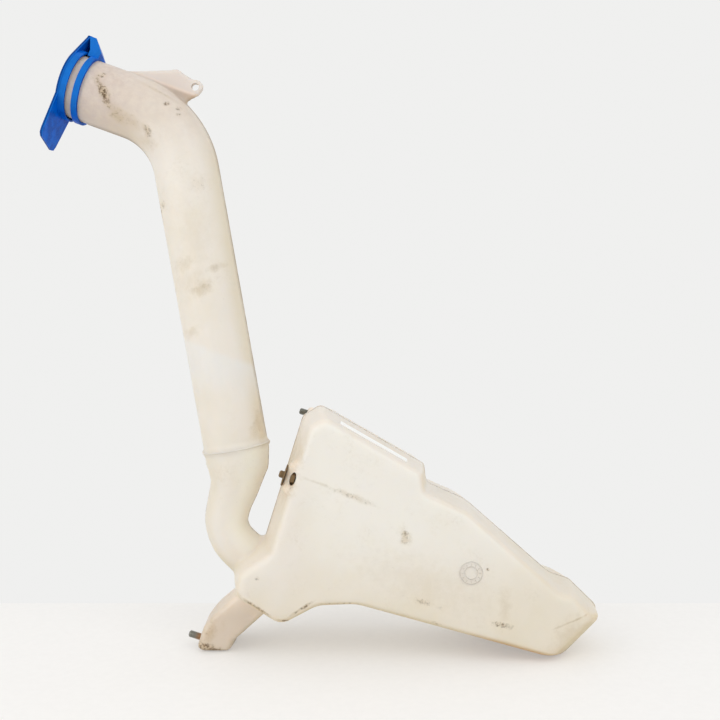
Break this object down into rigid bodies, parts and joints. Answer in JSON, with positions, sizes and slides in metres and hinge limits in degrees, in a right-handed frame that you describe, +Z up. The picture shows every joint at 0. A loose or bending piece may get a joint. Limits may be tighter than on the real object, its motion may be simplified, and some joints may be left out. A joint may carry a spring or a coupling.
{
  "type": "washer fluid reservoir",
  "caption": "Blow-moulded washer fluid tank with a long bent filler neck, hinged flip cap on a ring, fixing studs and a rear pump grommet.",
  "frame": {"origin": "seat of the lower fixing stud, on the stud's axis", "axes": "+Z up, +X from the lower stud to the tank's nose, +Y to the rear face with the pump grommet"},
  "size_m": [0.4741, 0.107, 0.5272],
  "materials": {
    "shell": "milky natural polyethylene, slightly yellowed",
    "cap": "blue polypropylene",
    "stud": "dull dark zinc",
    "rusty_steel": "brown with rust",
    "grommet": "black moulded rubber"
  },
  "bodies": {
    "tank": {"reservoir": "shell", "lower_stud": "stud", "upper_stud": "stud", "middle_bolt": "rusty_steel", "retaining_washer": "rusty_steel", "pump_grommet": "grommet"},
    "ring": {"cap_ring": "cap"},
    "lid": {"cap_lid": "cap"}
  },
  "joints": [
    {"name": "ring_swivel", "type": "hinge", "parent": "tank", "child": "ring", "pos_m": [-0.10911, 0.01, 0.47666], "axis": [-0.9397, 0, 0.342], "continuous": true},
    {"name": "lid_hinge", "type": "hinge", "parent": "ring", "child": "lid", "pos_m": [-0.09643, 0.01945, 0.5156], "axis": [-0.0769, 0.9744, -0.2114], "range_deg": [0, 150]}
  ]
}
